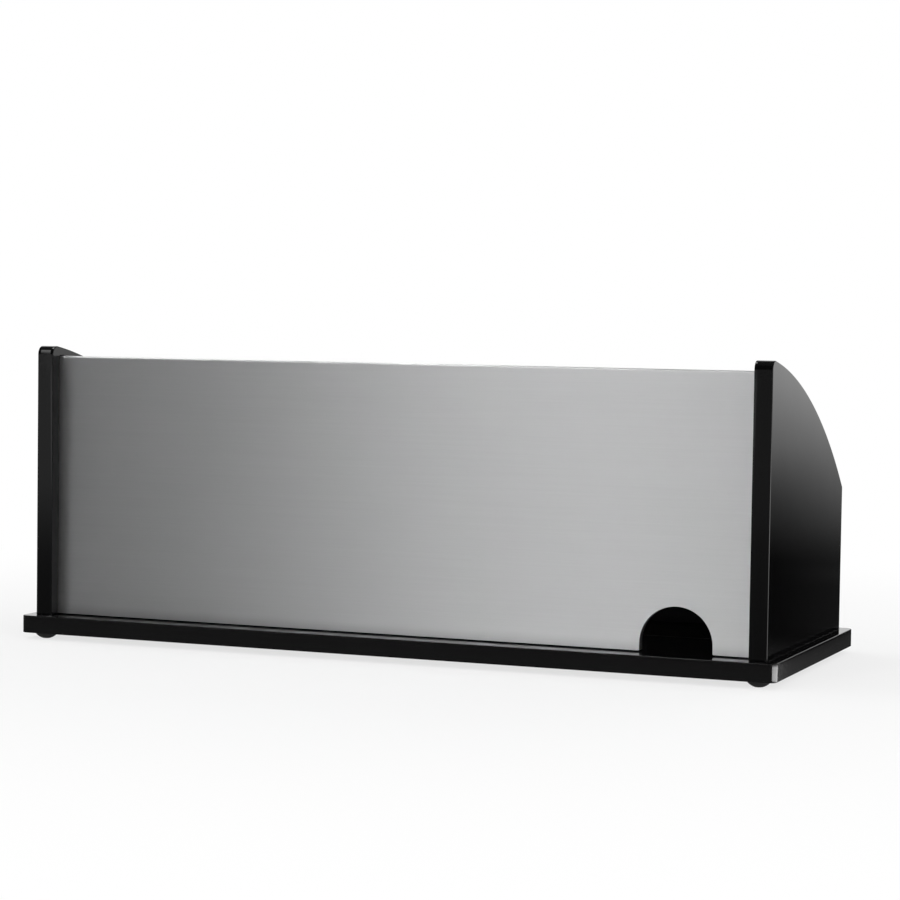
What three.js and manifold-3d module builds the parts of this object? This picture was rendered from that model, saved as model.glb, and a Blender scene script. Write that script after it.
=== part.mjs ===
// Desk sorter: gloss black acrylic ends on a black base, with brushed aluminium panels at the rear
// and the front and a black divider between them. All three slide into grooves in the ends, and
// they step down towards the front.
// Millimetres, +Z up, rear towards +Y, standing on Z = 0.
// Left and right are as seen by someone sitting at its front.
import * as THREE from "three";
import { mergeVertices } from "three/addons/utils/BufferGeometryUtils.js";
import Module from "manifold-3d";

// Base plate
const BASE_LENGTH = 268.8;
const BASE_DEPTH = 104;
const BASE_THICKNESS = 6;
const BASE_CORNER_RADIUS = 2.5;
const BASE_END_LEDGE = 3.8; // from the side panels' outer faces to the base's ends
const BASE_EDGE_LEDGE = 4.2; // from the side panels' upright edges to the base's long edges

// Side panels: upright edges at the rear and front, joined by one long arc
const SIDE_THICKNESS = 6;
const SIDE_REAR_HEIGHT = 93.8; // above the base, before the rear corner is rounded
const SIDE_FRONT_HEIGHT = 49;
const SIDE_TOP_RADIUS = 175;
const SIDE_CORNER_RADIUS = 2.8;
const ACRYLIC_EDGE_EASE = 0.4;

// Cross panels, their heights taken from the base's top
const PANEL_THICKNESS = 3;
const PANEL_EDGE_EASE = 0.4;
const PANEL_RECESS = 4.7; // from the side panels' upright edges to the outer panels' faces
const REAR_PANEL_HEIGHT = 90;
const DIVIDER_HEIGHT = 68;
const FRONT_PANEL_HEIGHT = 46;

// Arched cable cut-out in the rear panel, open to the base
const CUTOUT_WIDTH = 24;
const CUTOUT_STRAIGHT_HEIGHT = 3; // below the half-round top
const CUTOUT_INSET = 25; // from the left side panel's inner face to the cut-out's middle

// Grooves in the side panels' inner faces, open at the foot and stopped above each panel
const GROOVE_DEPTH = 2.5;
const GROOVE_CLEARANCE = 0.3;

// Countersunk screws through the base into the side panels
const SCREW_DIAMETER = 3;
const SCREW_HEAD_DIAMETER = 5.6;
const SCREW_HEAD_RIM = 0.3;
const SCREW_LENGTH = 16;
const SCREW_TIP_LENGTH = 2;
const SCREW_SINK = 0.2; // head's face above the base's underside
const SCREW_INSET = 24; // from the side panels' upright edges
const SCREW_CLEARANCE = 0.3;
const RECESS_SPAN = 3;
const RECESS_SLOT = 0.8;
const RECESS_DEPTH = 1.1;

// Domed bumper feet, centred under the side panels
const FOOT_DIAMETER = 8;
const FOOT_HEIGHT = 2.2;
const FOOT_RIM = 0.25;
const FOOT_FLAT_DIAMETER = 2.4; // pressed flat where it stands
const FOOT_INSET = 6.2; // from the base's long edges

// Fineness of curves, and the length by which a cut passes the face it opens
const CORNER_STEPS = 3;
const ARC_STEPS = 10;
const DOME_STEPS = 3;
const ROUND_STEPS = 24;
const OVERCUT = 1;

// Places worked out from the sizes above
const BASE_TOP = FOOT_HEIGHT + BASE_THICKNESS;
const SIDE_DEPTH = BASE_DEPTH - 2 * BASE_EDGE_LEDGE;
const SIDE_OUTER_X = BASE_LENGTH / 2 - BASE_END_LEDGE;
const SIDE_INNER_X = SIDE_OUTER_X - SIDE_THICKNESS;
const SIDE_MIDDLE_X = SIDE_OUTER_X - SIDE_THICKNESS / 2;
const PANEL_LENGTH = 2 * (SIDE_INNER_X + GROOVE_DEPTH - GROOVE_CLEARANCE);
const REAR_PANEL_Y = SIDE_DEPTH / 2 - PANEL_RECESS - PANEL_THICKNESS / 2;
const CUTOUT_X = CUTOUT_INSET - SIDE_INNER_X;
const SCREW_Y = SIDE_DEPTH / 2 - SCREW_INSET;
const FOOT_Y = BASE_DEPTH / 2 - FOOT_INSET;

// Finishes
const acrylic = new THREE.MeshStandardMaterial({ color: 0x0b0b0c, roughness: 0.08, metalness: 0 });
const aluminium = new THREE.MeshStandardMaterial({ color: 0xb3b4b5, roughness: 0.38, metalness: 1 });
const rubber = new THREE.MeshStandardMaterial({ color: 0x121212, roughness: 0.7, metalness: 0 });
const blackSteel = new THREE.MeshStandardMaterial({ color: 0x1d1d1f, roughness: 0.45, metalness: 1 });

// Each panel's name, the Y of its middle, its height and outline from the base's top, and its finish
const PANELS = [
  {
    name: "rear_panel",
    y: REAR_PANEL_Y,
    height: REAR_PANEL_HEIGHT,
    outline: rearPanelOutline,
    finish: aluminium,
  },
  {
    name: "middle_divider",
    y: 0,
    height: DIVIDER_HEIGHT,
    outline: plainPanelOutline,
    finish: acrylic,
  },
  {
    name: "front_panel",
    y: -REAR_PANEL_Y,
    height: FRONT_PANEL_HEIGHT,
    outline: plainPanelOutline,
    finish: aluminium,
  },
];
const ENDS = [
  { name: "left", side: -1 },
  { name: "right", side: 1 },
];
const EDGES = [
  { name: "rear", side: 1 },
  { name: "front", side: -1 },
];

const wasm = await Module();
wasm.setup();

// A closed geometry as a solid that can be cut
function solidOf(geometry) {
  const bare = geometry.clone();
  bare.deleteAttribute("normal");
  bare.deleteAttribute("uv");
  const merged = mergeVertices(bare);
  const mesh = new wasm.Mesh({
    numProp: 3,
    vertProperties: merged.attributes.position.array,
    triVerts: new Uint32Array(merged.index.array),
  });
  return new wasm.Manifold(mesh);
}

// A cut solid back as a geometry
function geometryOf(solid) {
  const mesh = solid.getMesh();
  const geometry = new THREE.BufferGeometry();
  geometry.setAttribute("position", new THREE.BufferAttribute(mesh.vertProperties, 3));
  geometry.setIndex(new THREE.BufferAttribute(mesh.triVerts, 1));
  geometry.computeVertexNormals();
  return geometry;
}

// Turns a geometry so that its own x, y and z lie along the given row axes
function along(geometry, x, y, z) {
  return geometry.applyMatrix4(new THREE.Matrix4().makeBasis(x, y, z));
}

const X = new THREE.Vector3(1, 0, 0);
const Y = new THREE.Vector3(0, 1, 0);
const Z = new THREE.Vector3(0, 0, 1);
const MINUS_Y = new THREE.Vector3(0, -1, 0);

// A sheet cut to an outline, centred on its thickness, with the edges of both faces eased
function sheet(outline, thickness, ease, curveSegments) {
  const geometry = new THREE.ExtrudeGeometry(outline, {
    depth: thickness - 2 * ease,
    bevelEnabled: true,
    bevelThickness: ease,
    bevelSize: ease,
    bevelOffset: -ease,
    bevelSegments: 1,
    curveSegments,
  });
  return geometry.translate(0, 0, ease - thickness / 2);
}

// A profile of radius and height turned about the row's Z
function turned(profile) {
  return along(new THREE.LatheGeometry(profile, ROUND_STEPS), Y, Z, X);
}

// Rectangle with rounded corners, centred on the origin
function baseOutline() {
  const x = BASE_LENGTH / 2 - BASE_CORNER_RADIUS;
  const y = BASE_DEPTH / 2 - BASE_CORNER_RADIUS;
  const quarter = Math.PI / 2;
  const outline = new THREE.Shape();
  outline.absarc(x, y, BASE_CORNER_RADIUS, 0, quarter);
  outline.absarc(-x, y, BASE_CORNER_RADIUS, quarter, 2 * quarter);
  outline.absarc(-x, -y, BASE_CORNER_RADIUS, 2 * quarter, 3 * quarter);
  outline.absarc(x, -y, BASE_CORNER_RADIUS, 3 * quarter, 4 * quarter);
  return outline;
}

// Side profile, rear to the right: the top arc runs from the rear corner's fillet to the front corner
function sideOutline() {
  const rear = new THREE.Vector2(SIDE_DEPTH / 2, SIDE_REAR_HEIGHT);
  const front = new THREE.Vector2(-SIDE_DEPTH / 2, SIDE_FRONT_HEIGHT);
  const chord = rear.clone().sub(front);
  const drop = Math.sqrt(SIDE_TOP_RADIUS ** 2 - chord.lengthSq() / 4);
  const towardsCentre = new THREE.Vector2(chord.y, -chord.x).normalize();
  const centre = rear.clone().add(front).multiplyScalar(0.5).addScaledVector(towardsCentre, drop);
  const filletY = rear.x - SIDE_CORNER_RADIUS;
  const filletReach = SIDE_TOP_RADIUS - SIDE_CORNER_RADIUS;
  const filletZ = centre.y + Math.sqrt(filletReach ** 2 - (filletY - centre.x) ** 2);
  const arcStart = Math.atan2(filletZ - centre.y, filletY - centre.x);
  const arcEnd = Math.atan2(front.y - centre.y, front.x - centre.x);
  const outline = new THREE.Shape();
  outline.moveTo(front.x, 0);
  outline.lineTo(rear.x, 0);
  outline.absarc(filletY, filletZ, SIDE_CORNER_RADIUS, 0, arcStart);
  outline.absarc(centre.x, centre.y, SIDE_TOP_RADIUS, arcStart, arcEnd);
  outline.closePath();
  return outline;
}

// Plain rectangular panel, its foot just clear of the base
function plainPanelOutline(height) {
  const outline = new THREE.Shape();
  outline.moveTo(-PANEL_LENGTH / 2, GROOVE_CLEARANCE);
  outline.lineTo(PANEL_LENGTH / 2, GROOVE_CLEARANCE);
  outline.lineTo(PANEL_LENGTH / 2, height);
  outline.lineTo(-PANEL_LENGTH / 2, height);
  outline.closePath();
  return outline;
}

// Rear panel with the arched cut-out rising from its foot
function rearPanelOutline(height) {
  const radius = CUTOUT_WIDTH / 2;
  const outline = new THREE.Shape();
  outline.moveTo(-PANEL_LENGTH / 2, GROOVE_CLEARANCE);
  outline.lineTo(CUTOUT_X - radius, GROOVE_CLEARANCE);
  outline.absarc(CUTOUT_X, CUTOUT_STRAIGHT_HEIGHT, radius, Math.PI, 0, true);
  outline.lineTo(CUTOUT_X + radius, GROOVE_CLEARANCE);
  outline.lineTo(PANEL_LENGTH / 2, GROOVE_CLEARANCE);
  outline.lineTo(PANEL_LENGTH / 2, height);
  outline.lineTo(-PANEL_LENGTH / 2, height);
  outline.closePath();
  return outline;
}

// Countersunk screw profile from its head's face up to its tip, grown all round for the hole it sits in
function screwProfile(growth, headFace) {
  const head = SCREW_HEAD_DIAMETER / 2 + growth;
  const shank = SCREW_DIAMETER / 2 + growth;
  const coneTop = SCREW_HEAD_RIM + head - shank;
  return [
    new THREE.Vector2(0, headFace),
    new THREE.Vector2(head, headFace),
    new THREE.Vector2(head, SCREW_HEAD_RIM),
    new THREE.Vector2(shank, coneTop),
    new THREE.Vector2(shank, SCREW_LENGTH - SCREW_TIP_LENGTH),
    new THREE.Vector2(0, SCREW_LENGTH + growth),
  ];
}

// Cross recess pressed into a screw's head
function crossRecess() {
  const arm = RECESS_SPAN / 2;
  const half = RECESS_SLOT / 2;
  const slot = (x, y) => new THREE.BoxGeometry(2 * x, 2 * y, 2 * RECESS_DEPTH);
  return solidOf(slot(arm, half)).add(solidOf(slot(half, arm)));
}

function screwGeometry() {
  return geometryOf(solidOf(turned(screwProfile(0, 0))).subtract(crossRecess()));
}

// Every hole that the screws need, at their places in the assembly
function screwHoles() {
  const hole = solidOf(turned(screwProfile(SCREW_CLEARANCE, -SCREW_SINK - OVERCUT)));
  const places = ENDS.flatMap((end) => EDGES.map((edge) => screwPlace(end, edge)));
  return places.map((place) => hole.translate(place.toArray())).reduce((all, next) => all.add(next));
}

function screwPlace(end, edge) {
  return new THREE.Vector3(end.side * SIDE_MIDDLE_X, edge.side * SCREW_Y, FOOT_HEIGHT + SCREW_SINK);
}

// Base plate with its countersunk holes
function baseGeometry() {
  const plate = sheet(baseOutline(), BASE_THICKNESS, ACRYLIC_EDGE_EASE, CORNER_STEPS);
  plate.translate(0, 0, FOOT_HEIGHT + BASE_THICKNESS / 2);
  return geometryOf(solidOf(plate).subtract(screwHoles()));
}

// A groove for one panel, reaching into both side panels
function panelGroove(panel) {
  const width = PANEL_THICKNESS + 2 * GROOVE_CLEARANCE;
  const height = panel.height + GROOVE_CLEARANCE + OVERCUT;
  const groove = new THREE.BoxGeometry(2 * (SIDE_INNER_X + GROOVE_DEPTH), width, height);
  return solidOf(groove.translate(0, panel.y, BASE_TOP - OVERCUT + height / 2));
}

// Side panel with the grooves in its inner face and the screw holes in its foot
function sideGeometry(end) {
  const flat = sheet(sideOutline(), SIDE_THICKNESS, ACRYLIC_EDGE_EASE, ARC_STEPS);
  const blank = along(flat, Y, Z, X);
  blank.translate(end.side * SIDE_MIDDLE_X, 0, BASE_TOP);
  const cuts = PANELS.map(panelGroove).reduce((all, next) => all.add(next), screwHoles());
  return geometryOf(solidOf(blank).subtract(cuts));
}

// Bumper foot: an adhesive face on top, a dome below and a small flat where it stands
function footGeometry() {
  const radius = FOOT_DIAMETER / 2;
  const flat = FOOT_FLAT_DIAMETER / 2;
  const domeTop = FOOT_HEIGHT - FOOT_RIM;
  const centreZ = (radius ** 2 + domeTop ** 2 - flat ** 2) / (2 * domeTop);
  const domeRadius = Math.hypot(flat, centreZ);
  const profile = new THREE.Path();
  profile.moveTo(0, 0);
  profile.lineTo(flat, 0);
  profile.absarc(0, centreZ, domeRadius, Math.atan2(-centreZ, flat), Math.atan2(domeTop - centreZ, radius));
  profile.lineTo(radius, FOOT_HEIGHT);
  profile.lineTo(0, FOOT_HEIGHT);
  return turned(profile.getPoints(DOME_STEPS));
}

const deskSorter = new THREE.Group();
deskSorter.name = "desk_sorter";

// Adds one named piece to the sorter
function addPiece(name, geometry, material, position) {
  const piece = new THREE.Mesh(geometry, material);
  piece.name = name;
  piece.position.copy(position);
  deskSorter.add(piece);
}

const HERE = new THREE.Vector3();
addPiece("base_plate", baseGeometry(), acrylic, HERE);
for (const end of ENDS) {
  addPiece(`${end.name}_side_panel`, sideGeometry(end), acrylic, HERE);
}
for (const panel of PANELS) {
  const geometry = sheet(panel.outline(panel.height), PANEL_THICKNESS, PANEL_EDGE_EASE, ARC_STEPS);
  const place = new THREE.Vector3(0, panel.y, BASE_TOP);
  addPiece(panel.name, along(geometry, X, Z, MINUS_Y), panel.finish, place);
}
for (const end of ENDS) {
  for (const edge of EDGES) {
    const corner = `${edge.name}_${end.name}`;
    const footPlace = new THREE.Vector3(end.side * SIDE_MIDDLE_X, edge.side * FOOT_Y, 0);
    addPiece(`foot_${corner}`, footGeometry(), rubber, footPlace);
    addPiece(`screw_${corner}`, screwGeometry(), blackSteel, screwPlace(end, edge));
  }
}

export default deskSorter;
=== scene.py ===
"""Desk sorter: two black acrylic ends on a black acrylic base, with two brushed aluminium sheets and a black
divider held between them."""
import math

import bpy
import numpy as np
from mathutils import Matrix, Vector
from mathutils.geometry import tessellate_polygon


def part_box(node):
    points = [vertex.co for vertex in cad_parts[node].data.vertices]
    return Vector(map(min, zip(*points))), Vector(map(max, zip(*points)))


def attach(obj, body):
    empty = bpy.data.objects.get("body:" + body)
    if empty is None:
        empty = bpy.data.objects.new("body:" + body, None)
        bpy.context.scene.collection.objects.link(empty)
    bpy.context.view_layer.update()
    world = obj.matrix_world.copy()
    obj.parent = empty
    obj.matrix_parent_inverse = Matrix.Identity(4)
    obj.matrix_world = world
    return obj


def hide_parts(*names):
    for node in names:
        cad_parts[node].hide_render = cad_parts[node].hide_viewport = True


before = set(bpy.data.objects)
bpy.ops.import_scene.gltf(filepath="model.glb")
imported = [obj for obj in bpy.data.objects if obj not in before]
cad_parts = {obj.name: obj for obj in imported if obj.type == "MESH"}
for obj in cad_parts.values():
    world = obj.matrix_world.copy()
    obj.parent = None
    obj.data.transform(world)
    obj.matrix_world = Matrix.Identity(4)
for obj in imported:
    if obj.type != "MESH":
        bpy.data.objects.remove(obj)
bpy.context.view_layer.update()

# Sizes, in metres
MM = 0.001
BASE_CORNER_RADIUS = 2.5 * MM
BASE_EDGE_EASE = 0.2 * MM
SIDE_TOP_RADIUS = 175.0 * MM
SIDE_FRONT_HEIGHT = 49.0 * MM
SIDE_REAR_CORNER_RADIUS = 2.8 * MM
SIDE_SHARP_CORNER_RADIUS = 0.7 * MM
SIDE_FOOT_RADIUS = 0.2 * MM
SIDE_FOOT_RISE = 1.0 * MM
SIDE_FOOT_SHARE = 0.25
SIDE_EDGE_EASE = 0.23 * MM
EDGE_CROWN = 0.001 * MM
PANEL_CORNER_RADIUS = 1.0 * MM
PANEL_FOOT_RADIUS = 0.45 * MM
PANEL_FOOT_SHARE = 0.15
PANEL_ROUNDS = (PANEL_CORNER_RADIUS, PANEL_FOOT_RADIUS, PANEL_FOOT_SHARE)
PANEL_EDGE_EASE = 0.7 * MM
CUTOUT_WIDTH = 24.0 * MM
CUTOUT_STRAIGHT_HEIGHT = 3.0 * MM
CUTOUT_INSET = 25.0 * MM
GROOVE_DEPTH = 2.5 * MM
GROOVE_CLEARANCE = 0.3 * MM
GROOVE_FOOT_STRIP = 0.02 * MM
DIVIDER_SEAT = 0.01 * MM
SCREW_DIAMETER = 3.0 * MM
SCREW_HEAD_DIAMETER = 5.6 * MM
SCREW_CLEARANCE = 0.3 * MM
SCREW_FACE_START = 0.06
SCREW_FACE_RIM = 0.15 * MM
SCREW_RECESS_RADIUS = 1.55 * MM
SCREW_RECESS_DEPTH = 1.3 * MM
SCREW_RECESS_ARM = 0.42 * MM
SCREW_RECESS_WALL = 0.18 * MM
SCREW_RECESS_END = 0.5 * MM
SCREW_RECESS_TAPER = 0.45
SCREW_HEAD_RIM_HEIGHT = 0.12 * MM
SCREW_CONE_HEIGHT = 0.3 * MM
SCREW_CONE_INSET = 0.02 * MM
SCREW_NECK = 0.05 * MM
SCREW_THREAD_PITCH = 1.1 * MM
SCREW_THREAD_DEPTH = 0.32 * MM
SCREW_THREAD_SHARPNESS = 1.6
SCREW_THREAD_START = 0.6 * MM
SCREW_THREAD_RUN_IN = 1.5 * MM
SCREW_THREAD_RUN_OUT = 2.0 * MM
SCREW_POINT_LENGTH = 2.2 * MM
SCREW_POINT_RADIUS = 0.25 * MM
FOOT_FLAT_RADIUS = 1.2 * MM
FOOT_RIM = 0.25 * MM
FOOT_RIM_ROUND = 0.1 * MM

# Steps round the curves
CORNER_STEPS = 10
ARC_STEPS = 72
EASE_STEPS = 6
EDGE_WALL_STEPS = 6
ROUND_STEPS = 64
DOME_STEPS = 24
SCREW_FACE_STEPS = 26
SCREW_THREAD_STEPS = 110
CORNER_HEIGHT_TRIES = 20

# Points that steady the shading
BORDER = 0.12 * MM
EDGE_LEAD = 0.15 * MM
LONG_EDGE = 6 * EDGE_LEAD
LEAD_INSET = 0.0001 * MM
SHARP_ANGLE = math.radians(32)

CORNERS = [f"{end}_{side}" for end in ("rear", "front") for side in ("left", "right")]


# Mesh building

def new_piece(name, points, faces):
    """A mesh object at the origin, smooth except along edges sharper than SHARP_ANGLE."""
    mesh = bpy.data.meshes.new(name)
    mesh.from_pydata(points, [], faces)
    mesh.shade_smooth()
    mesh.set_sharp_from_angle(angle=SHARP_ANGLE)
    mesh.validate()
    piece = bpy.data.objects.new(name, mesh)
    bpy.context.scene.collection.objects.link(piece)
    return piece


def band_faces(first, rows, columns):
    """Quads between neighbouring rows of a closed grid whose points are numbered row by row from first."""
    row = np.arange(rows - 1)[:, None] * columns
    here = np.arange(columns)[None, :]
    after = (here + 1) % columns
    corners = (row + here, row + after, row + columns + after, row + columns + here)
    return first + np.stack(corners, axis=-1).reshape(-1, 4)


def level_loop(loop, height):
    """A flat loop's points, all at one height."""
    return np.column_stack((loop, np.full(len(loop), height)))


def flat_faces(loops):
    """Anticlockwise triangles that fill the first flat loop and leave the other loops open. The filling is
    done in millimetres, since it joins points that are closer than 0.00003."""
    lists = [[(u / MM, v / MM, 0.0) for u, v in loop] for loop in loops]
    triangles = np.array(tessellate_polygon(lists))
    u, v = np.vstack(loops)[triangles].transpose(2, 0, 1)
    area = (u[:, 1] - u[:, 0]) * (v[:, 2] - v[:, 0]) - (u[:, 2] - u[:, 0]) * (v[:, 1] - v[:, 0])
    triangles[area < 0] = triangles[area < 0][:, ::-1]
    return triangles


def arc(centre, radius, start, end, steps=CORNER_STEPS, share=1.0):
    """One arc of an outline. Its share says how much of an inset it takes: less than 1 where the edge is
    eased less, and below 0 where the outline is hollow. With no steps it is a single point."""
    return np.asarray(centre), radius, np.linspace(start, end, steps + 1), share


def rounds_of(arcs, inset):
    """The arcs' points, each arc drawn about its own centre at its radius less its share of the inset."""
    return [
        centre + (radius - share * inset) * np.column_stack((np.cos(turn), np.sin(turn)))
        for centre, radius, turn, share in arcs
    ]


def outline(arcs, inset):
    """A closed outline drawn inside itself by inset: straight edges join one arc to the next, and arcs
    that touch share a point. A longer straight edge has one more point close to each of its ends, so that
    a corner's soft shading doesn't run along the edge; the points lie a hair inside it, so that no flat
    triangle is without area."""
    rounds = rounds_of(arcs, inset)
    plain = rounds_of(arcs, 0.0)
    points = []
    for number, here in enumerate(rounds):
        following = (number + 1) % len(rounds)
        reach = np.hypot(*(plain[following][0] - plain[number][-1]))
        points.append(here if reach > LEAD_INSET else here[:-1])
        if reach > LONG_EDGE:
            edge = rounds[following][0] - here[-1]
            along = edge / np.hypot(*edge)
            inward = np.array((-along[1], along[0])) * LEAD_INSET
            leads = (here[-1] + along * EDGE_LEAD, rounds[following][0] - along * EDGE_LEAD)
            points.append(np.array(leads) + inward)
    return np.vstack(points)


def eased_edge(thickness, ease, crown):
    """Inset and height across a sheet's edge: a flat border, a quarter circle, a wall that swells by the
    crown as a parabola of the height, a quarter circle and a flat border."""
    turn = np.linspace(0.0, math.pi / 2, EASE_STEPS + 1)
    round_inset = crown + ease * (1 - np.sin(turn))
    round_height = ease * (1 - np.cos(turn))
    wall = np.linspace(-1.0, 1.0, EDGE_WALL_STEPS + 1)[1:-1]
    border = [crown + ease + BORDER]
    inset = np.concatenate((border, round_inset, crown * wall**2, round_inset[::-1], border))
    wall_height = thickness / 2 + wall * (thickness / 2 - ease)
    height = np.concatenate(([0.0], round_height, wall_height, thickness - round_height[::-1], [thickness]))
    return inset, height


def sheet(name, arcs, thickness, ease, origin, axes, crown=0.0, wells=()):
    """A flat sheet with eased edges: the eased edge's profile carried round the outline, closed by two
    flat faces. A well is a stack of loops (u, v, height) from the upper face down; it ends on a floor, or
    on the lower face where its last loop lies at height 0. The axes are the sheet's u, v and thickness
    directions."""
    inset, height = eased_edge(thickness, ease, crown)
    rings = [level_loop(outline(arcs, i), h) for i, h in zip(inset, height)]
    columns = len(rings[0])
    points = [np.vstack(rings)]
    faces = [band_faces(0, len(rings), columns)]
    lower = [(0, rings[0])]
    upper = [((len(rings) - 1) * columns, rings[-1])]
    count = len(rings) * columns
    for well in wells:
        sides = len(well[0])
        points.append(np.vstack(well))
        faces.append(band_faces(count, len(well), sides))
        upper.append((count, well[0]))
        last = (count + (len(well) - 1) * sides, well[-1])
        if well[-1][0, 2] < ease / 2:
            lower.append(last)
        else:
            faces.append(last[0] + flat_faces([last[1][:, :2]]))
        count += len(well) * sides
    for loops, flip in ((lower, True), (upper, False)):
        numbers = np.concatenate([start + np.arange(len(loop)) for start, loop in loops])
        fill = numbers[flat_faces([loop[:, :2] for _, loop in loops])]
        faces.append(fill[:, ::-1] if flip else fill)
    flat = np.vstack(points)
    place = np.asarray(origin) + flat @ np.asarray(axes, dtype=float)
    return new_piece(name, place, [face for group in faces for face in group.tolist()])


def turned(name, radius, height, centre, steps=ROUND_STEPS):
    """A closed body round an upright axis: row k of the grid lies at radius[k] and height[k], which may be
    one number for the row or one for each step round; a pole closes the first and the last row."""
    turn = np.linspace(0.0, 2 * math.pi, steps, endpoint=False)
    radius = np.stack([np.broadcast_to(r, steps) for r in radius])
    height = np.stack([np.broadcast_to(h, steps) for h in height])
    grid = np.stack((radius * np.cos(turn), radius * np.sin(turn), height), axis=-1)
    rows = len(grid)
    poles = np.array([[0.0, 0.0, height[0].mean()], [0.0, 0.0, height[-1].mean()]])
    points = np.vstack((grid.reshape(-1, 3), poles)) + np.asarray(centre)
    here = np.arange(steps)
    after = (here + 1) % steps
    first_pole = np.full(steps, rows * steps)
    start_fan = np.column_stack((first_pole, after, here))
    end_fan = np.column_stack((first_pole + 1, (rows - 1) * steps + here, (rows - 1) * steps + after))
    faces = band_faces(0, rows, steps).tolist() + start_fan.tolist() + end_fan.tolist()
    return new_piece(name, points, faces)


# Outlines of the sheets

def rectangle_arcs(u0, v0, u1, v1, radius, foot_radius, foot_share):
    """An anticlockwise rectangle with round corners, from its lower right corner; the two lower corners have
    their own radius and share of the ease."""
    quarter = math.pi / 2
    foot = foot_radius
    return [
        arc((u1 - foot, v0 + foot), foot, -quarter, 0.0, share=foot_share),
        arc((u1 - radius, v1 - radius), radius, 0.0, quarter),
        arc((u0 + radius, v1 - radius), radius, quarter, 2 * quarter),
        arc((u0 + foot, v0 + foot), foot, 2 * quarter, 3 * quarter, share=foot_share),
    ]


def side_arcs(depth, rear_height):
    """An end's outline, u from front to rear and v up: a foot, an upright rear edge, one large arc of the
    top through the rear and front corners, and an upright front edge. Each fillet's centre lies its radius
    in from the upright edge and the large radius less its own from the large arc's centre. The foot is
    eased least, and just above it the upright edges have their full ease."""
    half = depth / 2
    front = np.array((-half, SIDE_FRONT_HEIGHT))
    rear = np.array((half, rear_height))
    chord = rear - front
    length = np.hypot(*chord)
    down = np.array((chord[1], -chord[0])) / length
    top_centre = (front + rear) / 2 + down * math.sqrt(SIDE_TOP_RADIUS**2 - (length / 2) ** 2)

    def fillet_centre(radius, u):
        reach = SIDE_TOP_RADIUS - radius
        return np.array((u, top_centre[1] + math.sqrt(reach**2 - (u - top_centre[0]) ** 2)))

    rear_fillet = fillet_centre(SIDE_REAR_CORNER_RADIUS, half - SIDE_REAR_CORNER_RADIUS)
    front_fillet = fillet_centre(SIDE_SHARP_CORNER_RADIUS, SIDE_SHARP_CORNER_RADIUS - half)
    rear_turn = math.atan2(*(rear_fillet - top_centre)[::-1])
    front_turn = math.atan2(*(front_fillet - top_centre)[::-1])
    corner = SIDE_SHARP_CORNER_RADIUS
    foot = SIDE_FOOT_RADIUS
    quarter = math.pi / 2
    return [
        arc((half - foot, foot), foot, -quarter, 0.0, share=SIDE_FOOT_SHARE),
        arc((half - corner, SIDE_FOOT_RISE), corner, 0.0, 0.0, steps=0),
        arc(rear_fillet, SIDE_REAR_CORNER_RADIUS, 0.0, rear_turn),
        arc(top_centre, SIDE_TOP_RADIUS, rear_turn, front_turn, ARC_STEPS),
        arc(front_fillet, corner, front_turn, 2 * quarter),
        arc((corner - half, SIDE_FOOT_RISE), corner, 2 * quarter, 2 * quarter, steps=0),
        arc((foot - half, foot), foot, 2 * quarter, 3 * quarter, share=SIDE_FOOT_SHARE),
    ]


def cutout_arcs(centre, foot, base_top):
    """The cable cut-out in a sheet's foot, walked from left to right: a small round at each foot corner and
    a hollow half circle on two short straight sides, whose height is taken from the base."""
    reach = CUTOUT_WIDTH / 2
    corner = PANEL_FOOT_RADIUS
    share = PANEL_FOOT_SHARE
    quarter = math.pi / 2
    return [
        arc((centre - reach - corner, foot + corner), corner, -quarter, 0.0, share=share),
        arc((centre, base_top + CUTOUT_STRAIGHT_HEIGHT), reach, 2 * quarter, 0.0, ROUND_STEPS // 2, -share),
        arc((centre + reach + corner, foot + corner), corner, 2 * quarter, 3 * quarter, share=share),
    ]


# The pieces

def screw_centres():
    """Where the screws come up through the base, from their nodes."""
    nodes = {f"screw_{corner}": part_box(f"screw_{corner}") for corner in CORNERS}
    return {node: ((low + high) / 2, low.z, high.z) for node, (low, high) in nodes.items()}


def make_base():
    """The base: a sheet with round upright corners and four countersunk screw holes."""
    low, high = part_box("base_plate")
    thickness = high.z - low.z
    turn = np.linspace(0.0, 2 * math.pi, ROUND_STEPS, endpoint=False)
    circle = np.column_stack((np.cos(turn), np.sin(turn)))
    bore = SCREW_DIAMETER / 2 + SCREW_CLEARANCE
    mouth = SCREW_HEAD_DIAMETER / 2 + SCREW_CLEARANCE
    sunk = 2 * SCREW_CLEARANCE
    steps = ((bore, thickness), (bore, mouth - bore + sunk), (mouth, sunk), (mouth, 0.0))
    wells = [
        [level_loop(circle * reach + (middle.x, middle.y), height) for reach, height in steps]
        for middle, _, _ in screw_centres().values()
    ]
    arcs = rectangle_arcs(low.x, low.y, high.x, high.y, BASE_CORNER_RADIUS, BASE_CORNER_RADIUS, 1.0)
    axes = ((1, 0, 0), (0, 1, 0), (0, 0, 1))
    base = sheet("base", arcs, thickness, BASE_EDGE_EASE, (0, 0, low.z), axes, wells=wells)
    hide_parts("base_plate")
    return base


def groove_foot():
    """How far above an end's foot its grooves start: just clear of the eased edge."""
    return SIDE_FOOT_SHARE * (SIDE_EDGE_EASE + BORDER + EDGE_CROWN) + GROOVE_FOOT_STRIP


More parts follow.
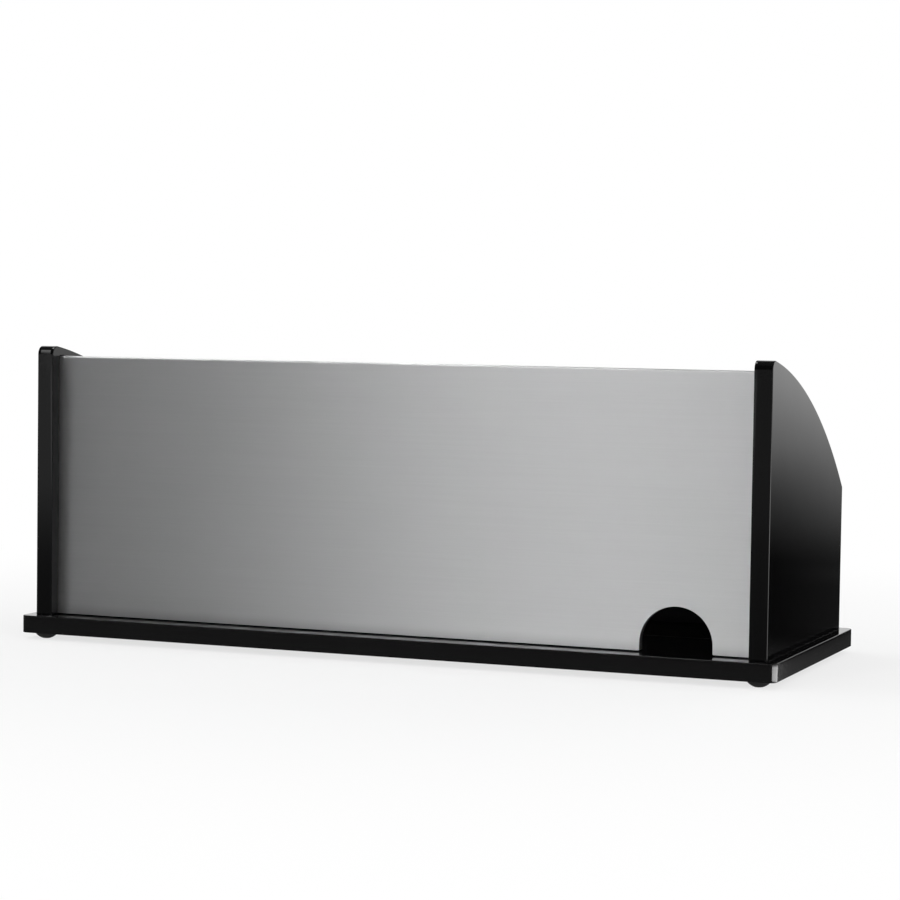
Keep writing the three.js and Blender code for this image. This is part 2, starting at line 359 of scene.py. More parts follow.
def groove_wells(inner_axis, foot, thickness):
    """The three stopped grooves in an end's inner face, one round each sheet between the ends."""
    wells = []
    for node in ("rear_panel", "middle_divider", "front_panel"):
        low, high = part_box(node)
        u0 = low.y - GROOVE_CLEARANCE
        u1 = high.y + GROOVE_CLEARANCE
        v0 = groove_foot()
        v1 = high.z - foot + GROOVE_CLEARANCE
        loop = np.array(((u0, v0), (u1, v0), (u1, v1), (u0, v1)))
        if inner_axis < 0:
            loop = loop[::-1] * (-1, 1)
        wells.append([level_loop(loop, height) for height in (thickness, thickness - GROOVE_DEPTH)])
    return wells


def make_side(node):
    """An end panel. Its thickness runs inwards, so the grooves open on its upper face; for the end on the
    right the depth runs the other way, which keeps the three directions right-handed."""
    low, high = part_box(node)
    inward = 1 if high.x < 0 else -1
    thickness = high.x - low.x
    rear_height = high.z - low.z
    depth = high.y - low.y
    arcs = side_arcs(depth, rear_corner_height(depth, rear_height))
    if inward < 0:
        arcs = [
            (centre * (-1, 1), radius, math.pi - turn[::-1], share)
            for centre, radius, turn, share in arcs[::-1]
        ]
    origin = (low.x if inward > 0 else high.x, 0.0, low.z)
    axes = ((0, inward, 0), (0, 0, 1), (inward, 0, 0))
    side = sheet(node.replace("_panel", ""), arcs, thickness, SIDE_EDGE_EASE, origin, axes, EDGE_CROWN,
                 groove_wells(inward, low.z, thickness))
    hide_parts(node)
    return side


def rear_corner_height(depth, height):
    """The height at which the large arc would meet the rear edge if that corner weren't rounded: the rounded
    corner's top is what the height measures, so the corner is raised until the two agree."""
    corner = height
    for _ in range(CORNER_HEIGHT_TRIES):
        arcs = side_arcs(depth, corner)
        top = max(centre[1] + radius * np.sin(turn).max() for centre, radius, turn, _ in arcs)
        corner += height - top
    return corner


def make_panel(node, name, arcs_of):
    """A sheet between the ends; its outline runs along X and Z and its thickness towards the front."""
    low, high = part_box(node)
    axes = ((1, 0, 0), (0, 0, 1), (0, -1, 0))
    panel = sheet(name, arcs_of(low, high), high.y - low.y, PANEL_EDGE_EASE, (0, high.y, 0), axes)
    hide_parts(node)
    return panel


def plain_panel(low, high):
    """A plain rectangle."""
    return rectangle_arcs(low.x, low.z, high.x, high.z, *PANEL_ROUNDS)


def divider_panel(low, high):
    """A plain rectangle that stands on the grooves' lower ends, so that no light shows under it."""
    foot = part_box("base_plate")[1].z + groove_foot() + DIVIDER_SEAT
    return rectangle_arcs(low.x, foot, high.x, high.z, *PANEL_ROUNDS)


def cable_panel(low, high):
    """A rectangle with the cable cut-out in its foot, near the left end."""
    base_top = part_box("base_plate")[1].z
    left_inner_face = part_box("left_side_panel")[1].x
    return plain_panel(low, high) + cutout_arcs(left_inner_face + CUTOUT_INSET, low.z, base_top)


def make_foot(node):
    """A bumper: a flat on the floor, a dome that is part of a sphere through the flat's rim and the bumper's
    own, an upright rim and a flat top on the base."""
    low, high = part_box(node)
    middle = (low + high) / 2
    reach = (high.x - low.x) / 2
    rise = high.z - low.z
    dome_top = rise - FOOT_RIM
    centre = (reach**2 + dome_top**2 - FOOT_FLAT_RADIUS**2) / (2 * dome_top)
    sphere = math.hypot(FOOT_FLAT_RADIUS, centre)
    first_turn = math.atan2(-centre, FOOT_FLAT_RADIUS)
    last_turn = math.atan2(dome_top - centre, reach)
    turn = np.linspace(first_turn, last_turn, DOME_STEPS)
    inner = reach - FOOT_RIM_ROUND
    radius = np.concatenate(([FOOT_FLAT_RADIUS / 2], sphere * np.cos(turn), [reach, inner, reach / 2]))
    height = np.concatenate(([0.0], centre + sphere * np.sin(turn), [rise - FOOT_RIM_ROUND, rise, rise]))
    foot = turned(node.replace("foot_", "bumper_"), radius, height, (middle.x, middle.y, low.z))
    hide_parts(node)
    return foot


def recess_height(face_radius, turn):
    """How deep the cross recess is at each point of a screw's face: full depth on the nearer arm, falling
    off beside it and at the arm's end, and less deep outwards."""
    across = np.abs(face_radius * np.sin(turn))
    along = np.abs(face_radius * np.cos(turn))
    off_arm = np.minimum(across, along)
    wall = np.clip((SCREW_RECESS_ARM - off_arm) / SCREW_RECESS_WALL, 0.0, 1.0)
    reach = np.clip((SCREW_RECESS_RADIUS - face_radius) / SCREW_RECESS_END, 0.0, 1.0)
    return SCREW_RECESS_DEPTH * wall * reach * (1 - SCREW_RECESS_TAPER * face_radius / SCREW_RECESS_RADIUS)


def thread_radius(height, turn, core):
    """A shank's radius with a helical thread: a crest of the phase of the helix, which runs in and out."""
    phase = height / SCREW_THREAD_PITCH - turn / (2 * math.pi)
    crest = 1 - np.abs(2 * (phase - np.floor(phase)) - 1)
    run_in = np.clip((height - height[0]) / SCREW_THREAD_RUN_IN, 0.0, 1.0)
    run_out = np.clip((height[-1] - height) / SCREW_THREAD_RUN_OUT, 0.0, 1.0)
    return core + SCREW_THREAD_DEPTH * crest**SCREW_THREAD_SHARPNESS * run_in * run_out


def make_screw(node, middle, bottom, top):
    """A countersunk screw, point up. Rows run outwards over the head with its cross recess, then up the cone
    and the threaded shank."""
    turn = np.linspace(0.0, 2 * math.pi, ROUND_STEPS, endpoint=False)[None, :]
    head = SCREW_HEAD_DIAMETER / 2
    core = SCREW_DIAMETER / 2 - SCREW_THREAD_DEPTH
    cone_end = head - SCREW_DIAMETER / 2
    length = top - bottom
    face = np.linspace(SCREW_FACE_START, 1.0, SCREW_FACE_STEPS)[:, None] * (head - SCREW_FACE_RIM)
    thread_ends = (cone_end + SCREW_THREAD_START, length - SCREW_POINT_LENGTH)
    thread = np.linspace(*thread_ends, SCREW_THREAD_STEPS)[:, None]
    cone_radius = (head, head - SCREW_CONE_INSET, core + SCREW_NECK)
    cone_height = (SCREW_HEAD_RIM_HEIGHT, SCREW_CONE_HEIGHT, cone_end + SCREW_CONE_HEIGHT)
    radius = [*face, *cone_radius, *thread_radius(thread, turn, core), SCREW_POINT_RADIUS]
    height = [*recess_height(face, turn), *cone_height, *thread, length]
    screw = turned(node.replace("screw_", "fixing_screw_"), radius, height, (middle.x, middle.y, bottom))
    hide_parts(node)
    return screw


# Materials

# The two ends of each finish's colour, and its relief
ACRYLIC_TONES = ((0.0022, 0.0022, 0.0024), (0.005, 0.005, 0.0052))
ALUMINIUM_TONES = ((0.25, 0.25, 0.253), (0.84, 0.84, 0.845))
# The rubber's tones are lighter than its own black: painted light that stands for light bounced off the
# floor
RUBBER_TONES_LIFTED_BY_PAINTED_LIGHT = ((0.05, 0.05, 0.05), (0.15, 0.15, 0.147))
STEEL_TONES = ((0.028, 0.028, 0.030), (0.16, 0.16, 0.165))
ACRYLIC_RELIEF = 0.02 * MM
ALUMINIUM_RELIEF = 0.004 * MM
RUBBER_RELIEF = 0.04 * MM
STEEL_RELIEF = 0.02 * MM

# How fine the patterns are, in waves per metre
HAZE_SCALE = 26.0
WAVE_SCALE = 55.0
HAIRLINE_SCALE = (900.0, 38.0, 38.0)
SAW_ALONG_SCALE = 160.0
SAW_ACROSS_SCALE = 5200.0
FINE_BRUSH_SCALE = (28.0, 2600.0, 5200.0)
MEDIUM_BRUSH_SCALE = (14.0, 600.0, 1100.0)
BROAD_BRUSH_SCALE = (6.0, 60.0, 90.0)
GRAIN_SCALE = 2400.0
DUST_SCALE = 420.0
SPECK_SCALE = 1900.0

# Each sort of acrylic sheet: the number of its thickness direction, and how dull its sawn edges are
ACRYLIC_SORTS = {"flat": (2, 0.125), "upright": (0, 0.012), "cross": (1, 0.06)}

# Other values of the finishes
ACRYLIC_IOR = 1.49
EDGE_FACING = (0.3, 0.9)
# Painted shade along the aluminium sheets' foot: the heights over which it fades out, and its tone at the
# foot
ALUMINIUM_PAINTED_SHADE_HEIGHTS = (7.0 * MM, 12.5 * MM)
ALUMINIUM_PAINTED_FOOT_SHADE = 0.51
ALUMINIUM_WALL_FACING = (0.3, 0.8)
ALUMINIUM_METALLIC = 0.92
ALUMINIUM_STRETCH = 1.0
ALUMINIUM_STRETCH_TURN = 0.25
# Painted shade on the aluminium's edge faces up to the cut-out's top, for the shade inside the cut-out: how
# dark it is, and the height over which it fades out
CUTOUT_PAINTED_SHADE = 0.9
CUTOUT_PAINTED_SHADE_FADE = 1.0 * MM
DUST_REACH = 0.9 * MM
STEEL_METALLIC = 0.9
WORN_SPECK = (0.56, 0.72)

# The numbers of a Mix node's two colours and of its colour output
MIX_DARK, MIX_LIGHT, MIX_COLOUR = 6, 7, 2


class Value:
    """A number in a node tree. Arithmetic on it adds Math nodes."""

    def __init__(self, finish, socket):
        self.finish = finish
        self.socket = socket

    def math(self, operation, *others):
        """The Math node of that operation on this value and the others."""
        return self.finish.math(operation, self, *others)

    def __add__(self, other):
        return self.math("ADD", other)

    def __radd__(self, other):
        return self.finish.math("ADD", other, self)

    def __sub__(self, other):
        return self.math("SUBTRACT", other)

    def __rsub__(self, other):
        return self.finish.math("SUBTRACT", other, self)

    def __mul__(self, other):
        return self.math("MULTIPLY", other)

    def __rmul__(self, other):
        return self.finish.math("MULTIPLY", other, self)

    def __truediv__(self, other):
        return self.math("DIVIDE", other)

    def __rtruediv__(self, other):
        return self.finish.math("DIVIDE", other, self)

    def __pow__(self, other):
        return self.math("POWER", other)

    def __neg__(self):
        return self.math("MULTIPLY", -1.0)

    def clamp(self):
        """This value held between 0 and 1."""
        return self.finish.node("ShaderNodeClamp", {}, {"Value": self})

    def band(self, low, high):
        """0 below low, 1 above high, and a smooth step between them."""
        settings = {"interpolation_type": "SMOOTHSTEP"}
        sockets = {"Value": self, "From Min": low, "From Max": high}
        return self.finish.node("ShaderNodeMapRange", settings, sockets)

    def turn_band(self, low, high):
        """The same smooth step between two angles in degrees."""
        return self.band(math.radians(low), math.radians(high))

    def between(self, low, high):
        """low where this value is 0, high where it is 1, and a straight line between them."""
        return low + (high - low) * self


class Finish:
    """A node tree, emptied and ready to be wired: a new material's, or that of the holder that is given."""

    def __init__(self, name, holder=None):
        self.holder = holder or bpy.data.materials.new(name)
        self.holder.use_nodes = True
        self.tree = self.holder.node_tree
        self.tree.nodes.clear()

    def node(self, kind, settings, sockets, output=0):
        """Any node: its settings first, then its sockets' values or links. Returns one output, if it has
        any."""
        made = self.tree.nodes.new(kind)
        for key, value in settings.items():
            setattr(made, key, value)
        for key, value in sockets.items():
            self.feed(made.inputs[key], value)
        return Value(self, made.outputs[output]) if made.outputs else None

    def feed(self, socket, value):
        """Links a Value to the socket, or sets a plain value on it."""
        if isinstance(value, Value):
            self.tree.links.new(value.socket, socket)
        else:
            socket.default_value = value

    def math(self, operation, *values):
        """A Math node on up to three values."""
        return self.node("ShaderNodeMath", {"operation": operation}, dict(enumerate(values)))

    def place(self):
        """The point on the surface, in metres."""
        return self.node("ShaderNodeTexCoord", {}, {}, "Object")

    def facing(self):
        """The direction in which the surface faces."""
        return self.node("ShaderNodeNewGeometry", {}, {}, "Normal")

    def stretched(self, point, scale):
        """The point with each direction scaled, so that a pattern is drawn out along the small ones."""
        return self.node("ShaderNodeVectorMath", {"operation": "MULTIPLY"}, {0: point, 1: scale})

    def parts(self, point):
        """The three numbers of a vector."""
        split = self.node("ShaderNodeSeparateXYZ", {}, {"Vector": point})
        return [Value(self, output) for output in split.socket.node.outputs]

    def noise(self, point, scale=1.0, detail=2.0, roughness=0.5):
        """Soft noise about 0.5."""
        sockets = {"Vector": point, "Scale": scale, "Detail": detail, "Roughness": roughness}
        return self.node("ShaderNodeTexNoise", {}, sockets, "Fac")

    def tint(self, amount, dark, light):
        """A colour between dark and light."""
        sockets = {"Factor": amount, MIX_DARK: (*dark, 1.0), MIX_LIGHT: (*light, 1.0)}
        return self.node("ShaderNodeMix", {"data_type": "RGBA"}, sockets, MIX_COLOUR)

    def bump(self, height, distance):
        """A normal tilted by a height that is distance metres at full scale."""
        return self.node("ShaderNodeBump", {}, {"Height": height, "Distance": distance, "Strength": 1.0})

    def principled(self, sockets):
        """The surface shader, wired to the output."""
        self.output(self.node("ShaderNodeBsdfPrincipled", {}, sockets))
        return self.holder

    def glow(self, tone):
        """A shader that only glows: an even tone is its strength, and a pattern is its grey."""
        socket = "Color" if isinstance(tone, Value) else "Strength"
        return self.node("ShaderNodeEmission", {}, {socket: tone})

    def clear(self):
        """A shader that lets everything through."""
        return self.node("ShaderNodeBsdfTransparent", {}, {})

    def output(self, shader):
        """Wires a shader to the surface output."""
        self.node("ShaderNodeOutputMaterial", {}, {"Surface": shader})


def black_acrylic(sort):
    """Gloss black acrylic: clear faces with faint haze and hairlines, edges that were sawn and buffed, so
    they are a little duller and carry fine lines along the sheet, and arrises broken with fine paper,
    duller still. A sort gives the number of the thickness direction, and how dull the sawn edges are."""
    edge_axis, edge_roughness = ACRYLIC_SORTS[sort]
    finish = Finish("black_acrylic_" + sort)
    point = finish.place()
    facing = finish.parts(finish.facing())[edge_axis].math("ABSOLUTE")
    edge = 1 - facing.band(*EDGE_FACING)
    arris = (facing * (1 - facing) * 4.0).clamp()
    haze = finish.noise(point, HAZE_SCALE, 3.0, 0.55).band(0.42, 0.78)
    hairline = finish.noise(finish.stretched(point, HAIRLINE_SCALE)).band(0.66, 0.74)
    saw_scale = [SAW_ALONG_SCALE] * 3
    saw_scale[edge_axis] = SAW_ACROSS_SCALE
    saw = finish.noise(finish.stretched(point, tuple(saw_scale)))
    wave = finish.noise(point, WAVE_SCALE, 1.0)
    dull_edge = edge * edge_roughness * (0.5 + saw) + arris * 0.1
    return finish.principled({
        "Base Color": finish.tint(haze * 0.4 + edge * 0.3 + arris * 0.3, *ACRYLIC_TONES),
        "Roughness": 0.03 + 0.02 * haze + 0.02 * hairline + dull_edge,
        "IOR": ACRYLIC_IOR,
        "Normal": finish.bump(wave * 0.6 + saw * edge * 0.02, ACRYLIC_RELIEF),
    })


def brushed_aluminium(name):
    """Aluminium brushed along X: long fine streaks in tone, gloss and height over a slow cloudy variation.
    Painted shade darkens it along its foot, and darkens its edge faces up to just above the cut-out's top,
    where it stands for the shade inside the cut-out."""
    finish = Finish(name)
    point = finish.place()
    fine = finish.noise(finish.stretched(point, FINE_BRUSH_SCALE), 1.0, 3.0, 0.6)
    medium = finish.noise(finish.stretched(point, MEDIUM_BRUSH_SCALE))
    broad = finish.noise(finish.stretched(point, BROAD_BRUSH_SCALE))
    streak = fine * 0.55 + medium * 0.3 + broad * 0.15
    height = finish.parts(point)[2]
    # Painted shade along the foot: 0 at the foot, 1 above it
    clear_of_painted_shade = height.band(*ALUMINIUM_PAINTED_SHADE_HEIGHTS)
    cutout_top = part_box("base_plate")[1].z + CUTOUT_STRAIGHT_HEIGHT + CUTOUT_WIDTH / 2
    wall = 1 - finish.parts(finish.facing())[1].math("ABSOLUTE").band(*ALUMINIUM_WALL_FACING)
    # Painted shade on the edge faces up to just above the cut-out's top, for the shade inside the cut-out
    painted_cutout_shade = wall * (1 - height.band(cutout_top, cutout_top + CUTOUT_PAINTED_SHADE_FADE))
    streaks_and_painted_shade = clear_of_painted_shade * (0.86 + 0.14 * streak.band(0.25, 0.75))
    shade = streaks_and_painted_shade.between(ALUMINIUM_PAINTED_FOOT_SHADE, 1.0)
    return finish.principled({
        "Base Color": finish.tint(shade * (1 - CUTOUT_PAINTED_SHADE * painted_cutout_shade), *ALUMINIUM_TONES),
        "Metallic": ALUMINIUM_METALLIC,
        "Roughness": 0.455 + 0.03 * streak,
        "Anisotropic": ALUMINIUM_STRETCH,
        "Anisotropic Rotation": ALUMINIUM_STRETCH_TURN,
        "Normal": finish.bump(fine * 0.7 + medium * 0.3, ALUMINIUM_RELIEF),
    })


def foot_rubber(name):
    """Black rubber with a fine moulded grain, greyer where it has picked up dust near the floor. Its whole
    tone is lifted as painted light, standing for light bounced off the floor.
    """
    finish = Finish(name)
    point = finish.place()
    grain = finish.noise(point, GRAIN_SCALE, 3.0, 0.6)
    patch = finish.noise(point, DUST_SCALE)
    dust = (1 - finish.parts(point)[2].band(0.0, DUST_REACH)) * patch
    return finish.principled({
        "Base Color": finish.tint(dust * 0.6 + grain * 0.2, *RUBBER_TONES_LIFTED_BY_PAINTED_LIGHT),
        "Roughness": 0.42 + 0.2 * grain + 0.15 * dust,
        "Normal": finish.bump(grain, RUBBER_RELIEF),
    })


def screw_steel(name):
    """Blackened steel, worn to bare metal in specks."""
    finish = Finish(name)
    speck = finish.noise(finish.place(), SPECK_SCALE, 4.0, 0.65)
    return finish.principled({
        "Base Color": finish.tint(speck.band(*WORN_SPECK), *STEEL_TONES),
        "Metallic": STEEL_METALLIC,
        "Roughness": 0.30 + 0.25 * speck,
        "Normal": finish.bump(speck, STEEL_RELIEF),
    })


def dress(piece, material):
    """Gives a piece its finish and lets it ride on the one body."""
    piece.data.materials.append(material)
    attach(piece, "root")


# The studio. Most pairs of numbers are where something starts and ends to fade, in metres, or in degrees
# for a turn. A pair of tones belongs to the two ends of a fade.

WHITE = (1.0, 1.0, 1.0, 1.0)
FLOOR_GREY = (0.8, 0.8, 0.8, 1.0)
FLOOR_REACH = 12.0
FLOOR_FADE = (0.12, 0.4)
FLOOR_WHITE_SHARE = 0.72
WORLD_LIGHT = 0.65

# The dark table in the gloss
TABLE_HEIGHT = 0.05 * MM
TABLE_TONE = 0.004
TABLE_EDGE = 0.36
TABLE_FADE = 1.9
TABLE_FADE_POWER = 1.1
TABLE_SLANT_START = (0.0727, 0.818)
TABLE_SLANTS = (-0.269, -0.222)
TABLE_SLANT_RUN = 1.2
TABLE_WHITE_LEFT = (0.44, 0.93)
TABLE_WHITE_RIGHT = (1.46, 1.29)
TABLE_LIT_START = (0.05, 0.12)
TABLE_LIT_RISE = (0.25, 0.32)
TABLE_LIT_TONES = (0.02, 0.036)
TABLE_LIT_END = (0.3, 0.5)
TABLE_FRONT_TONE = 0.45
TABLE_FRONT_SIDE = (0.0, 0.02)
TABLE_FRONT_GAP = (0.01, 0.03)
TABLE_REAR = (-0.1, 0.15)
TABLE_REAR_TONE = 0.05
TABLE_CLOSE_REAR = (0.045, 0.065)
TABLE_CLOSE_REAR_TONE = 0.11
TABLE_CLOSE_END = (0.012, 0.016)
TABLE_CLOSE_END_TONE = 0.05
TABLE_FAR = (0.15, 1.0)
TABLE_FAR_TONE = 0.12
TABLE_FAR_RIGHT = (0.3, 1.0)
TABLE_FAR_RIGHT_TONE = 0.22
TABLE_STRIP_START = (0.3, 0.7)
RIGHT_TURN = (20.0, 32.0)

# The room in the gloss
WALL_REACH = 4.5
WALL_HEIGHT = 5.6
BEND_STEPS = 49
WALL_TURN = (-100.0, 115.0)
WALL_FOOT_TONES = (0.17, 0.39)
WALL_FOOT_FADE = (0.15, 0.5)
WALL_LEFT_TONE = 0.45
WALL_LEFT_TURN = (-40.0, -10.0)
FLAG_FOOT = 0.2
FLAG_TONE = 0.01
FLAG_TURN = (-168.0, -100.0)
FRONT_GLOW_TONE = 0.8
FRONT_GLOW_TURN = (-170.0, -100.0)
CEILING_TONE = 0.06
OVERHEAD_START = (-1.6, -1.2)
OVERHEAD_END = (0.4, 0.8)

# Bright strips: the slants between which each lies, and its tone
STRIPS = ((0.165, 0.205, 7.4), (0.268, 0.308, 10.3), (0.355, 0.385, 8.6))
OTHER_STRIPS = ((-0.36, -0.02, 2.0), (0.68, 0.93, 2.8))
END_STRIPS = ((0.511, 0.534, 2.5),)
OVERHEAD = (0.275, 0.485, 5.5)
TABLE_STRIP = (0.255, 0.505, 0.5)
STRIP_SOFTNESS = 0.006
STRIP_FOOT = (0.7, 1.4)
END_STRIP_FOOT = (-0.6, 3.4)
STRIP_TOP = (4.2, 5.0)
FILM_REACH = 4.4
OTHER_FILM_REACH = 4.3
END_FILM_REACH = 4.2

# Small cards close to the sorter; a ring has two reaches and two turns
POST_FLAG_DEPTH = 6.0 * MM
POST_FLAG_TONE = 0.09
NEAR_RING = (0.012, 0.068, -52.0, -161.0)
NEAR_HEIGHT = 0.1 * MM
NEAR_TONE = 9.3
NEAR_FRONTAL_TURN = (-145.0, -95.0)
NEAR_FRONTAL_DIM = 0.55
FAR_RING = (0.01, 2.5, -18.0, -150.0)
FAR_HEIGHT = 0.2 * MM
FAR_TONES = (2.5, 3.75)
FAR_RISE = (0.3, 0.5)
FAR_START = (0.012, 0.058)
FAR_END = (0.9, 2.4)
FAR_FRONT_SIDE = (-148.0, -118.0)
FAR_REAR_SIDE = (-40.0, -20.0)

# Softboxes: name, azimuth, elevation, distance, width and height, and brightness
SOFT_BOXES = (
    ("key_softbox", 17.0, 32.0, 2.4, (0.35, 1.7), 4.2),
    ("top_softbox", 90.0, 63.0, 1.8, (0.9, 0.7), 3.0),
    ("left_softbox", -55.0, 16.0, 1.8, (0.4, 0.9), 10.0),
    ("front_softbox", 195.0, 35.0, 2.2, (0.9, 0.9), 2.0),
)

CAMERA_PLACE = (-0.3339, 0.8180, 0.1139)
CAMERA_YAW = math.radians(180.0 + 21.941)
CAMERA_PITCH = math.radians(90.0 - 2.990)
CAMERA_ROLL = math.radians(0.819)
CAMERA_LENS = 102.57
CAMERA_SENSOR = 36.0
CAMERA_CLIP_START = 0.01


def reach_of(x, y):
    """The distance along the floor."""
    return (x * x + y * y).math("SQRT")


def azimuth_of(finish, x, y):
    """The direction along the floor, measured from the rear towards the right end."""
    return finish.math("ARCTAN2", x, y)


def seen_directly(finish):
    """1 on camera, glossy and transmission rays, 0 on the rays that carry light."""
    path = finish.node("ShaderNodeLightPath", {}, {}).socket.node.outputs
    rays = [Value(finish, path[name]) for name in ("Is Camera Ray", "Is Glossy Ray", "Is Transmission Ray")]
    return (rays[0] + rays[1] + rays[2]).clamp()


def slanted(finish, strip):
    """A bright strip whose every point lies at the same slant to the sorter's length, between two slants."""
    low, high, tone = strip
    x, y, z = finish.parts(finish.place())
    slant = x / (x * x + y * y + z * z).math("SQRT")
    return tone * slant.band(low, low + STRIP_SOFTNESS) * (1 - slant.band(high - STRIP_SOFTNESS, high))


def plain_glow(name, tone):
    """A finish that only glows."""
    finish = Finish(name)
    finish.output(finish.glow(tone))
    return finish


def clear_glow(finish, tone):
    """A glow on clear film, so that what lies behind it still shows."""
    finish.output(finish.node("ShaderNodeAddShader", {}, {0: finish.glow(tone), 1: finish.clear()}))


def stage_plane(name, finish, height, reach):
    """A square level plane about the object, marked as stage."""
    corners = np.array(((-1, -1), (1, -1), (1, 1), (-1, 1))) * reach
    plane = new_piece(name, level_loop(corners, height), [[0, 1, 2, 3]])
    plane.data.materials.append(finish.holder)
    return plane


def gloss_only(card):
    """Leaves a card to gloss reflections: it casts no shadow, gives no light and isn't seen itself."""
    card.visible_camera = False
    card.visible_diffuse = False
    card.visible_transmission = False
    card.visible_shadow = False


def stage_card(name, finish, points, faces, pieces=()):
    """A flat or bent card that only gloss shows, and where pieces are named, only their gloss."""
    card = new_piece(name, points, faces)
    card.data.materials.append(finish.holder)
    gloss_only(card)
    if pieces:
        lit = bpy.data.collections.new(name + "_pieces")
        for piece in pieces:
            lit.objects.link(piece)
        card.light_linking.receiver_collection = lit


def make_floor():
    """A pale floor that takes the object's shadow near it and fades to the white of the background."""
    finish = Finish("pale_floor")
    x, y, _ = finish.parts(finish.place())
    pale = finish.node("ShaderNodeBsdfDiffuse", {}, {"Color": FLOOR_GREY})
    white = finish.node("ShaderNodeEmission", {}, {"Color": WHITE, "Strength": seen_directly(finish)})
    share = reach_of(x, y).band(*FLOOR_FADE).between(FLOOR_WHITE_SHARE, 1.0)
    finish.output(finish.node("ShaderNodeMixShader", {}, {"Fac": share, 1: pale, 2: white}))
    stage_plane("floor", finish, 0.0, FLOOR_REACH)


def table_white(finish, y, lit):
    """How much of the floor's white comes through the table beyond its front edge: more with the distance,
    and more where the table is lit."""
    beyond = (-y - TABLE_EDGE).math("MAXIMUM", 0.0)
    white = 1 - finish.math("POWER", math.e, -((beyond / TABLE_FADE) ** TABLE_FADE_POWER))
    run = beyond.band(0.0, TABLE_SLANT_RUN)
    share = lit.between(run.between(*TABLE_WHITE_LEFT), run.between(*TABLE_WHITE_RIGHT))
    return (white * share).clamp()


def table_tone(finish, x, y, lit):
    """The table's own grey: almost black, pale in front of the sorter, faintly lit beside that, lighter
    close to the base's ends and rear, and towards the rear lighter with the distance, most to the
    right."""
    low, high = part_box("base_plate")
    distance = reach_of(x, y)
    ahead = -y
    rear = y.band(*TABLE_REAR)
    right = azimuth_of(finish, x, y).turn_band(*RIGHT_TURN)
    close_rear = TABLE_CLOSE_REAR_TONE * (1 - (y - high.y).band(*TABLE_CLOSE_REAR))
    far = TABLE_FAR_TONE * distance.band(*TABLE_FAR)
    far_right = TABLE_FAR_RIGHT_TONE * right * distance.band(*TABLE_FAR_RIGHT)
    strip = slanted(finish, TABLE_STRIP) * distance.band(*TABLE_STRIP_START)
    close_end = TABLE_CLOSE_END_TONE * (1 - (x.math("ABSOLUTE") - high.x).band(*TABLE_CLOSE_END))
    front = TABLE_FRONT_TONE * (x - low.x).band(*TABLE_FRONT_SIDE) * (low.y - y).band(*TABLE_FRONT_GAP)
    lit_tone = ahead.band(*TABLE_LIT_RISE).between(*TABLE_LIT_TONES)
    lit_front = lit * lit_tone * ahead.band(*TABLE_LIT_START) * (1 - ahead.band(*TABLE_LIT_END))
    behind = TABLE_REAR_TONE + close_rear + far + far_right + strip
    return TABLE_TONE + front + lit_front + close_end * (1 - rear) + rear * behind


def make_table_card():
    """The dark table top that only gloss shows. It is lit to the right of a soft slanting edge, which runs
    from TABLE_SLANT_START towards the front left, and beyond its front edge the floor's white comes
    through."""
    finish = Finish("dark_table")
    x, y, _ = finish.parts(finish.place())
    start_x, start_y = TABLE_SLANT_START
    lit = ((x - start_x) / (start_y - y)).band(*TABLE_SLANTS)
    cover = 1 - table_white(finish, y, lit)
    dark = finish.glow(table_tone(finish, x, y, lit))
    finish.output(finish.node("ShaderNodeMixShader", {}, {"Fac": cover, 1: finish.clear(), 2: dark}))
    gloss_only(stage_plane("table_card", finish, TABLE_HEIGHT, FLOOR_REACH))


def bent_wall(name, finish, turns, low=0.0, pieces=(), reach=WALL_REACH):
    """Part of an upright cylinder about the object, between two azimuths, from a height up to the
    ceiling."""
    turn = np.radians(np.linspace(*turns, BEND_STEPS))
    rim = reach * np.column_stack((np.sin(turn), np.cos(turn)))
    points = np.vstack([level_loop(rim, height) for height in (low, WALL_HEIGHT)])
    here = np.arange(len(rim) - 1)
    faces = np.column_stack((here, here + 1, here + 1 + len(rim), here + len(rim)))
    stage_card(name, finish, points, faces.tolist(), pieces)


def strip_film(name, strips, foot, pieces, reach):
    """Bright strips on a clear film before the wall, which fade in over the foot's heights and out at the
    top. Only those pieces show them."""
    film = Finish(name + "_film")
    height = film.parts(film.place())[2]
    raised = height.band(*foot) * (1 - height.band(*STRIP_TOP))
    clear_glow(film, sum(slanted(film, strip) for strip in strips) * raised)
    bent_wall(name, film, WALL_TURN, 0.0, pieces, reach)


def make_wall():
    """The wall behind and beside the camera, which only gloss shows: it is light to the left, and
    elsewhere it has a dim foot that grows lighter towards the right."""
    finish = Finish("room_wall")
    x, y, z = finish.parts(finish.place())
    azimuth = azimuth_of(finish, x, y)
    foot = azimuth.turn_band(*RIGHT_TURN).between(*WALL_FOOT_TONES) * (1 - z.band(*WALL_FOOT_FADE))
    left = WALL_LEFT_TONE * (1 - azimuth.turn_band(*WALL_LEFT_TURN))
    finish.output(finish.glow(foot + left))
    bent_wall("rear_wall", finish, WALL_TURN)


def make_ceiling():
    """A dark ceiling with one bright strip across the room, which only gloss shows."""
    finish = Finish("room_ceiling")
    depth = finish.parts(finish.place())[1]
    strip = slanted(finish, OVERHEAD) * depth.band(*OVERHEAD_START) * (1 - depth.band(*OVERHEAD_END))
    finish.output(finish.glow(CEILING_TONE + strip))
    gloss_only(stage_plane("ceiling", finish, WALL_HEIGHT, WALL_REACH))


